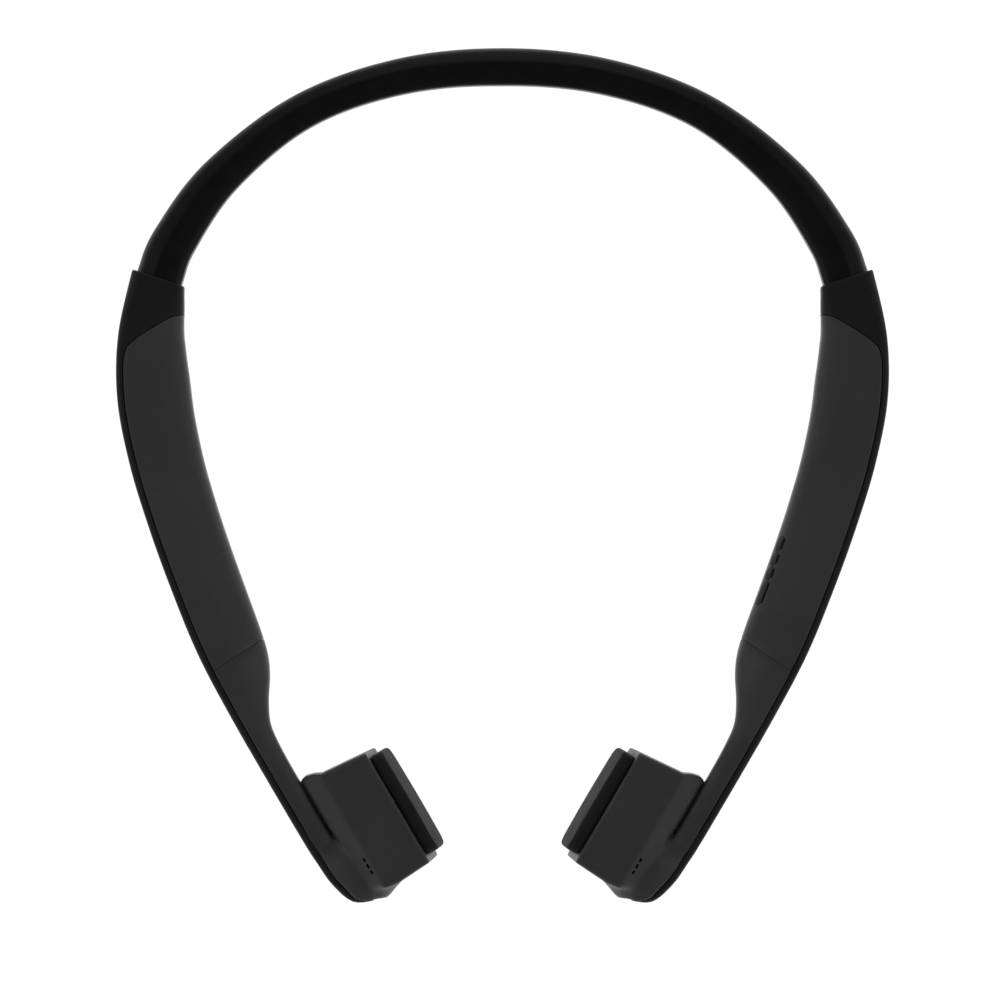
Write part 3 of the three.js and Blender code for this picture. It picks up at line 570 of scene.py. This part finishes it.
def round_ring(depth, height, radius, count=16):
    angle = 2 * math.pi * np.arange(count) / count
    return np.stack([depth + radius * np.cos(angle), height + radius * np.sin(angle)], 1)


def box_ring(depth, height, thickness, tall):
    x = np.array([-1, 1, 1, -1]) * thickness / 2
    z = np.array([-1, -1, 1, 1]) * tall / 2
    return np.stack([depth + x, height + z], 1)


def build_band(side_name):
    side = SIDES[side_name]
    end = BAND_MOUTH + TONGUE_LENGTH
    rings = [band_points(d, band_ring(d)) for d in stations(0, end, 1.0)]
    skin = loft(f"{side_name}_band_sleeve", rings, side, sharp=60)
    dress(skin, "band_rubber")
    strip = [
        band_points(d, box_ring(0.42 * float(band_thickness(d)), 0, 0.8, 5.5))
        for d in stations(0, BAND_MOUTH + 11, 1.5)
    ]
    lead = [
        band_points(d, round_ring(0.73 * float(band_thickness(d)), 0, 0.7))
        for d in stations(0, BAND_MOUTH + 18, 1.5)
    ]
    pieces = {
        "band_skin": skin,
        "band_core": dress(loft(f"{side_name}_band_strip", strip, side, 30), "spring_steel"),
        "band_lead": dress(loft(f"{side_name}_band_wire", lead, side, 60), "lead_jacket"),
    }
    for node_name, piece in pieces.items():
        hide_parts(f"{side_name}_{node_name}", f"{node_name}_centre")
        blend_band(piece)


# ---------- arm ----------

seam_depth = profile(SLEEVE_SEAM)
SEAM_START, SEAM_END = SLEEVE_SEAM[0][0], SLEEVE_SEAM[-1][0]
HAIRLINE = 0.06


def cover_depth(distance):
    """Thickness of the outer cover beyond the sleeve."""
    return 0.1 + (SPINE + 0.05) * (1 - smoothstep(distance, 128.5, TIP_END))


def parting_slant(ring):
    """The parting line runs aslant across the arm."""
    return 0.65 - 1.8 * (ring[:, 0] - SPINE) / (16 - SPINE)


def mouth_slant(distance, ring):
    """The sleeve's mouth runs a little further along the arm at its inner edge."""
    return 0.085 * ring[:, 0] * (1 - smoothstep(distance, 0, 5.5))


def blend_neck(obj):
    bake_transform(obj)


def build_outer_cover(side_name):
    """Black sleeve round the band's end, and the spine along the arm's outer edge to the tip."""
    rings = []
    for d in stations(TIP_END, SEAM_END, 1.0):
        rings.append(arm_points(d, arm_section(d, 0, float(cover_depth(d)) - HAIRLINE, tongue=d < 116)))
    for d in stations(SEAM_END, SEAM_START, 0.35)[1:]:
        depth = min(float(seam_depth(d)), float(arm_width(d)) - 0.05)
        rings.append(arm_points(d, arm_section(d, 0, depth - HAIRLINE, tongue=True)))
    plain = [(d, 0.0) for d in stations(SEAM_START - HAIRLINE, 0.5, 0.8)]
    for d, shrink in plain + [(0.3, 0.03), (0.1, 0.1), (0.0, 0.22)]:
        ring = arm_section(d, 0, float(arm_width(d)), shrink=shrink)
        rings.append(arm_points(d + mouth_slant(d, ring), ring))
    cover = loft(f"{side_name}_cover", rings, SIDES[side_name], sharp=55)
    sleeve_bore(cover, side_name)
    dress(cover, "black_cover")
    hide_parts(f"{side_name}_outer_cover", f"{side_name}_tip_cover")
    blend_neck(cover)


def sleeve_bore(cover, side_name):
    """Opens the sleeve for the band's end, the strip and the lead, a hair larger than they are."""
    side = SIDES[side_name]
    start = BAND_MOUTH - 3
    skin = [band_points(d, band_ring(d, 0.12)) for d in stations(start, BAND_MOUTH + TONGUE_LENGTH + GAP, 1)]
    inner = [
        band_points(d, box_ring(0.55 * float(band_thickness(d)), 0, 4.6, 6.1))
        for d in stations(start, BAND_MOUTH + 11 + GAP, 1)
    ]
    carve(cover, loft("bore", skin, side))
    carve(cover, loft("bore", inner, side))


def carve(obj, cutter):
    """Cuts one mesh out of another and removes the cutter."""
    modifier = obj.modifiers.new("carve", "BOOLEAN")
    modifier.operation = "DIFFERENCE"
    modifier.solver = "EXACT"
    modifier.object = cutter
    bpy.context.view_layer.update()
    evaluated = obj.evaluated_get(bpy.context.evaluated_depsgraph_get())
    mesh = bpy.data.meshes.new_from_object(evaluated)
    obj.modifiers.clear()
    obj.data = mesh
    bpy.data.objects.remove(cutter)
    mesh.set_sharp_from_angle(angle=math.radians(50))


def casing_ring(d, shrink=0.0, slanted=0.0, count=36):
    """Ring of the grey casing or hook, inwards of the cover."""
    start = float(seam_depth(d)) if d < SEAM_END else float(cover_depth(d))
    width = float(arm_width(d))
    ring = arm_section(d, min(start, width - 0.1) + HAIRLINE, width, count, shrink, groove=d < 116)
    return arm_points(d + slanted * parting_slant(ring), ring)


def build_inner_shell(side_name):
    """Hollow grey casing, open towards the outer cover, with a socket for the hook's tenon."""
    side = SIDES[side_name]
    rings = [casing_ring(d) for d in stations(SEAM_START + HAIRLINE, SEAM_END, 0.35)]
    rings += [casing_ring(d) for d in stations(SEAM_END, PARTING - 6, 1.0)[1:]]
    for d in stations(PARTING - 5, PARTING - 0.2, 1.0):
        rings.append(casing_ring(d, 0, smoothstep(d, PARTING - 6, PARTING)))
    end = PARTING - 0.03
    for d, shrink in ((PARTING - 0.1, 0.03), (end, 0.09), (end, 0.25), (PARTING - 0.8, 0.25)):
        rings.append(casing_ring(d, shrink, 1.0))
    shell = loft(f"{side_name}_casing", rings, side, sharp=55)
    pocket = []
    for d in stations(19, PARTING - 4.5, 2):
        tall = float(arm_height(d)) / 2 - WALL
        reach = float(arm_width(d)) - WALL
        pocket.append(arm_points(d, np.array([(-1, -tall), (reach, -tall), (reach, tall), (-1, tall)])))
    carve(shell, loft("pocket", pocket, side))
    if side_name == "left":
        open_casing(shell)
    dress(shell, "grey_casing")
    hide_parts(f"{side_name}_inner_shell")
    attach(shell, f"{side_name}_arm")


def build_hook(side_name):
    """Grey ear hook, from its tenon in the casing down to the pod's neck."""
    rings = [
        casing_ring(d, shrink, 1.0) for d, shrink in (
            (PARTING - 0.7, 0.3), (PARTING + 0.03, 0.3), (PARTING + 0.03, 0.09),
            (PARTING + 0.1, 0.03), (PARTING + 0.2, 0.0))
    ]
    for d in stations(PARTING + 1.2, 119.4, 0.8):
        rings.append(casing_ring(d, 0.0, 1 - smoothstep(d, PARTING, PARTING + 6)))
    rings += [casing_ring(d, shrink) for d, shrink in ((119.9, 0.06), (120.5, 0.2), (121.3, 0.45))]
    hook = loft(f"{side_name}_hook", rings, SIDES[side_name], sharp=55)
    dress(hook, "grey_casing")
    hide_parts(f"{side_name}_hook_shell")
    blend_neck(hook)


# ---------- keys and the underside of the left arm ----------

def block(name, matrix, low, high, radius, step=0.2, crown=0.0):
    """Block with rounded edges and a crowned top, in the frame of matrix."""
    low, high = np.array(low, float), np.array(high, float)
    middle, half = (low + high) / 2, (high - low) / 2

    def field(x, y, z):
        bulge = crown * ((x - middle[0]) / half[0]) ** 2 * (z > middle[2])
        q = [np.abs(p - middle[k]) - half[k] + radius for k, p in enumerate((x, y, z + bulge))]
        outside = np.sqrt(sum(np.maximum(part, 0) ** 2 for part in q))
        return outside + np.minimum(np.maximum(np.maximum(q[0], q[1]), q[2]), 0) - radius

    points, faces = surface_nets(field, low - 1.5 * step, high + 1.5 * step, step)
    return make_object(name, placed(points, matrix), faces.tolist(), 1, 60)


def box_cutter(matrix, low, high):
    (x0, y0, z0), (x1, y1, z1) = low, high
    ends = [[(x, y0, z0), (x, y1, z0), (x, y1, z1), (x, y0, z1)] for x in (x0, x1)]
    return loft("cutter", placed(ends, matrix))


def key_frame(start, length):
    middle = start + length / 2
    depth = float(arm_width(middle)) - KEY_ROW_INSET
    height = float(arm_height(middle)) / 2 - KEY_ROW_INSET
    turn = np.array(Matrix.Rotation(math.pi / 4, 4, "X"))
    return span_frame(start, start + length, depth, height) @ turn


def underside_frame():
    """Frame at the charging socket: X along the arm, Y outwards, origin on the underside."""
    board = span_frame(*SOCKET_SPAN, SOCKET_DEPTH, 0.3)
    seat = placed([(SOCKET_AT, -FACE_DROP, 0)], board)[0]
    along = unit(board[:3, 0] * (1, 1, 0))
    return frame_matrix(along, np.cross((0, 0, 1), along), (0, 0, 1), (seat[0], seat[1], 0))


def open_casing(shell):
    """Key holes, and the flap's recess with the socket's throat, light hole and sound hole."""
    foot = KEY_PROUD - KEY_LENGTH
    for start, length in KEYS.values():
        half = length / 2
        low, high = (-half - 0.04, KEY_LOW - 0.05, foot - 2), (half + 0.04, KEY_HIGH + 0.03, 3)
        carve(shell, box_cutter(key_frame(start, length), low, high))
        reach, side = half - 0.35, KEY_SLOT_WIDTH / 2
        depth = float(arm_width(start + half)) - KEY_SLOT_INSET
        height = float(arm_height(start + half)) / 2 - 1.2
        slot = span_frame(start + half - reach, start + half + reach, depth, height)
        carve(shell, box_cutter(slot, (-reach, -side, -1.3), (reach, side, 3)))
    base = underside_frame()
    length, width, thickness = FLAP_SIZE
    x, y, z = length / 2 + GAP, width / 2 + GAP, FLAP_LIFT + thickness + 0.1
    carve(shell, box_cutter(base, (-x, -y, -z), (x, y, z)))
    carve(shell, box_cutter(base, (-4.1, -1.6, -1), (4.1, 1.6, 5)))
    carve(shell, box_cutter(base, (LIGHT_AT - 0.9, -0.9, -1), (LIGHT_AT + 0.9, 0.9, 3)))
    carve(shell, box_cutter(base, (MICROPHONE_AT - 0.5, -0.5, -1), (MICROPHONE_AT + 0.5, 0.5, 3.5)))


def build_keys():
    foot = KEY_PROUD - KEY_LENGTH
    for key, (start, length) in KEYS.items():
        low, high = (-length / 2, KEY_LOW, foot), (length / 2, KEY_HIGH, KEY_PROUD)
        cap = block(f"{key}_cap", key_frame(start, length), low, high, 0.3, 0.18, crown=0.15)
        dress(cap, "key_plastic")
        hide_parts(f"{key}_key")
        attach(cap, key)


def build_underside():
    base = underside_frame()
    length, width, thickness = FLAP_SIZE
    low, high = (-length / 2, -width / 2, FLAP_LIFT), (length / 2, width / 2, FLAP_LIFT + thickness)
    flap = block("socket_flap", base, low, high, 0.3, 0.2)
    top = FLAP_LIFT + thickness
    plug = block("socket_plug", base, (-2.8, -0.6, top - 0.1), (2.8, 0.6, top + 0.7), 0.2, 0.2)
    light = block("light_window", base, (LIGHT_AT - 0.6, -0.6, 0.2), (LIGHT_AT + 0.6, 0.6, 2.4), 0.35, 0.15)
    for piece in (flap, plug):
        dress(piece, "pad_silicone")
        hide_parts("usb_cover")
        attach(piece, "charging_flap")
    dress(light, "light_lens")
    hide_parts("status_light")
    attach(light, "left_arm")


# ---------- pod ----------

def pod_plan(facing, along):
    return POD_CENTRE + POD_FACING * facing + POD_ALONG * along


def pod_outline():
    distances = stations(ARM_END + 0.25, SLIT_START, 2.0)
    opening = np.clip((ARM_END - 0.25 - distances) / (ARM_END - 0.25 - SLIT_START), 0, 1)
    depth = arm_width(distances) + SLIT[1] + (SLIT[0] - SLIT[1]) * opening
    x, y = arm_path.at(distances, depth)
    outline = [pod_plan(f, a) for f, a in POD_FRONT[::-1]]
    outline += list(np.stack([x, y], 1))
    outline += [pod_plan(f, a) for f, a in POD_REAR[::-1]]
    return np.array(outline)


def rounded(plan, tall, radius):
    """Upright prism with rounded rims, from its distances in plan and in height."""
    plan, tall = plan + radius, tall + radius
    return np.minimum(np.maximum(plan, tall), 0) + np.hypot(np.maximum(plan, 0), np.maximum(tall, 0)) - radius


def pod_field(x, y, z):
    """Distance field of the left pod's housing: box, knuckle and the strip that runs to the tip."""
    relative = np.stack([x - POD_CENTRE[0], y - POD_CENTRE[1]], -1)
    facing, along = relative @ POD_FACING, relative @ POD_ALONG
    level, height = z - POD_HEIGHT / 2, z - POD_MID
    back = np.maximum(-9.2 - facing, 0)
    fall = 0.72 + 0.15 * smoothstep(along, -3, 5)
    half = POD_HEIGHT / 2 - fall * (np.sqrt(back ** 2 + 0.5) - math.sqrt(0.5))
    plan = polygon_distance(x, y, pod_outline())
    box = rounded(plan, np.abs(level) - half, 0.8)
    box = smooth_max(box, facing + POD_TILT * (level - POD_HEIGHT / 2) - 0.1, 0.35)
    # A low lip under the hook closes the view down the slit.
    lip = np.maximum(np.maximum(plan - 1.3, np.abs(z - 4.2) - 0.9), facing + 10.8)
    lip = np.maximum(lip, np.abs(along) - 13)
    reach = [np.abs(part / size) for part, size in zip(
        (facing - KNUCKLE_AT[0], along - KNUCKLE_AT[1], height), KNUCKLE_SIZE)]
    power = 2.6
    knuckle = (sum(part ** power for part in reach) ** (1 / power) - 1) * min(KNUCKLE_SIZE)
    distance, depth = arm_path.locate(x, y)
    start = cover_depth(distance) + HAIRLINE
    width = arm_width(distance)
    strip_half = arm_height(distance) / 2 - inner_drop(distance, depth)
    strip = smooth_max(smooth_max(start - depth, depth - width, 0.3), np.abs(height) - strip_half, 0.4)
    strip = np.maximum(strip + 0.35 * (1 - smoothstep(distance, 118.2, 119.2)), 117.6 - distance)
    strip = smooth_max(strip, distance - 135, 0.8)
    body = smooth_min(smooth_min(np.minimum(box, lip), knuckle, 1.2), strip, 1.2)
    return np.maximum(body, np.where(distance > 112, start - depth, -9.0))


def pad_matrix():
    """Frame of the pad: X out of its face, Y along the pod, Z up."""
    angle = math.atan(POD_TILT)
    out = np.array([*(POD_FACING * math.cos(angle)), math.sin(angle)])
    along = np.array([*POD_ALONG, 0])
    x, y = pod_plan(POD_TILT * POD_HEIGHT / 2, 0.4)
    return frame_matrix(out, along, np.cross(out, along), (x, y, POD_HEIGHT / 2))


def build_pod(side_name):
    side = SIDES[side_name]
    step = 0.34
    points, faces = surface_nets(pod_field, (9, -84, -1), (40, -50, 20), step)
    housing = make_object(f"{side_name}_pod", points, faces.tolist(), side, sharp=70)
    mouth = pad_matrix()
    depth, length, height = CAVITY
    cavity = box_cutter(mouth, (-depth, -length / 2, -height / 2), (3, length / 2, height / 2))
    if side < 0:
        mirror(cavity)
    carve(housing, cavity)
    for offset in (-1.0, 0.0, 1.0):
        engrave(housing, side, offset)
    dress(housing, "grey_casing")
    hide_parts(f"{side_name}_pod_housing")
    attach(housing, f"{side_name}_pod")
    build_pad(side_name, mouth)


def engrave(housing, side, offset):
    """One short bar of the tactile mark on top of the knuckle."""
    x, y = pod_plan(KNUCKLE_AT[0] + 1.9, KNUCKLE_AT[1] + 0.3 + 1.35 * offset)
    top = POD_MID + KNUCKLE_SIZE[2]
    length = 0.95 - 0.2 * abs(offset)
    place = frame_matrix((*POD_ALONG, 0), (*-POD_FACING, 0), (0, 0, 1), (x, y, top))
    bar = box_cutter(place, (-length / 2, -0.22, -0.27), (length / 2, 0.22, 2))
    if side < 0:
        mirror(bar)
    carve(housing, bar)


def mirror(obj):
    obj.data.transform(Matrix.Scale(-1, 4, (1, 0, 0)))
    obj.data.flip_normals()


def plate_field(x, y, z, low, high, length, height, corner, edge):
    """Rounded plate across X: corner rounds its outline and edge its rims."""
    qy = np.abs(y) - length / 2 + corner
    qz = np.abs(z) - height / 2 + corner
    plan = np.minimum(np.maximum(qy, qz), 0) + np.hypot(np.maximum(qy, 0), np.maximum(qz, 0)) - corner + edge
    thick = np.abs(x - (low + high) / 2) - (high - low) / 2 + edge
    return np.minimum(np.maximum(plan, thick), 0) + np.hypot(np.maximum(plan, 0), np.maximum(thick, 0)) - edge


def pad_field(x, y, z):
    """Soft pad: crowned face, rounded rim, a lip groove near the housing and a boss behind."""
    length, height = PAD_SIZE[1] + 0.7, PAD_SIZE[2]
    crown = 0.25 * ((2 * y / length) ** 2 + (2 * z / height) ** 2) / 2
    face = plate_field(x + crown, y, z, 0.12, GAP + PAD_SIZE[0], length, height, 2.6, 0.75)
    boss = plate_field(x, y, z, -1.6, 1.2, 13, 8.6, 1.4, 0.3)
    return smooth_min(face, boss, 0.3)


def build_pad(side_name, mouth):
    points, faces = surface_nets(pad_field, (-2.2, -11.2, -9.2), (3.6, 11.2, 9.2), 0.3)
    pad = make_object(f"{side_name}_cheek_pad", placed(points, mouth), faces.tolist(), SIDES[side_name], 70)
    dress(pad, "pad_silicone")
    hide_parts(f"{side_name}_pad")
    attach(pad, f"{side_name}_pod")


# ---------- floor, light and camera ----------

FLOOR_SIZE = 3.0
SKY_LOW, SKY_HIGH = 0.85, 0.12  # brightness of the surroundings near the floor and overhead
SOFTBOX_SIZE = 0.5
# Place and power of each softbox.
SOFTBOXES = {
    "left_softbox": ((0.55, -0.05, 0.7), 0.6),
    "right_softbox": ((-0.55, -0.05, 0.7), 0.6),
    "back_softbox": ((0, 0.7, 0.55), 0.3),
}
VIEW_WIDTH, VIEW_DISTANCE, SENSOR_WIDTH = 0.190, 3.0, 36


def build_stage():
    bpy.ops.mesh.primitive_plane_add(size=FLOOR_SIZE, location=(0, 0, 0))
    floor = bpy.context.object
    floor.name = "floor"
    material, tree, shader = new_material("floor_white", (0.06, 0.06, 0.06), 0.9, specular=0.0)
    shader.inputs["Emission Color"].default_value = (1, 1, 1, 1)
    shader.inputs["Emission Strength"].default_value = 1.0
    floor.data.materials.append(material)
    world = bpy.data.worlds.new("studio")
    bpy.context.scene.world = world
    world.use_nodes = True
    tree = world.node_tree
    background = tree.nodes["Background"]
    coordinates = tree.nodes.new("ShaderNodeTexCoord")
    split = tree.nodes.new("ShaderNodeSeparateXYZ")
    tree.links.new(coordinates.outputs["Generated"], split.inputs["Vector"])
    glow = ramp(tree, split.outputs["Z"], SKY_LOW, SKY_HIGH, 0.05, 0.95)
    tree.links.new(glow, background.inputs["Strength"])
    background.inputs["Color"].default_value = (1, 1, 1, 1)


def add_area(name, location, size, energy, target=(0, 0, 0)):
    light = bpy.data.lights.new(name, "AREA")
    light.shape = "DISK"
    light.size = size
    light.energy = energy
    lamp = bpy.data.objects.new(name, light)
    lamp.location = location
    lamp.visible_camera = False
    lamp.rotation_euler = (Vector(target) - Vector(location)).to_track_quat("-Z", "Y").to_euler()
    bpy.context.scene.collection.objects.link(lamp)


def build_camera():
    """Straight above, at a long focal length, so that the plan view has almost no perspective."""
    aim = Vector((-0.000475, -0.00475, 0.0095))
    camera = bpy.data.cameras.new("camera")
    camera.sensor_width = SENSOR_WIDTH
    camera.lens = SENSOR_WIDTH * VIEW_DISTANCE / VIEW_WIDTH
    camera.clip_start, camera.clip_end = 0.01, 20
    holder = bpy.data.objects.new("camera", camera)
    holder.location = aim + Vector((0, 0, VIEW_DISTANCE))
    bpy.context.scene.collection.objects.link(holder)
    bpy.context.scene.camera = holder


build_stage()
for name, (location, energy) in SOFTBOXES.items():
    add_area(name, location, SOFTBOX_SIZE, energy)
build_camera()
bpy.context.scene.view_settings.view_transform = "Standard"
for record_part in frame["record"]["subparts"]:
    dress(frame["nodes"][record_part["node"]], record_part["material_slot"])
for name in SIDES:
    build_band(name)
    build_outer_cover(name)
    build_inner_shell(name)
    build_hook(name)
    build_pod(name)
build_keys()
build_underside()
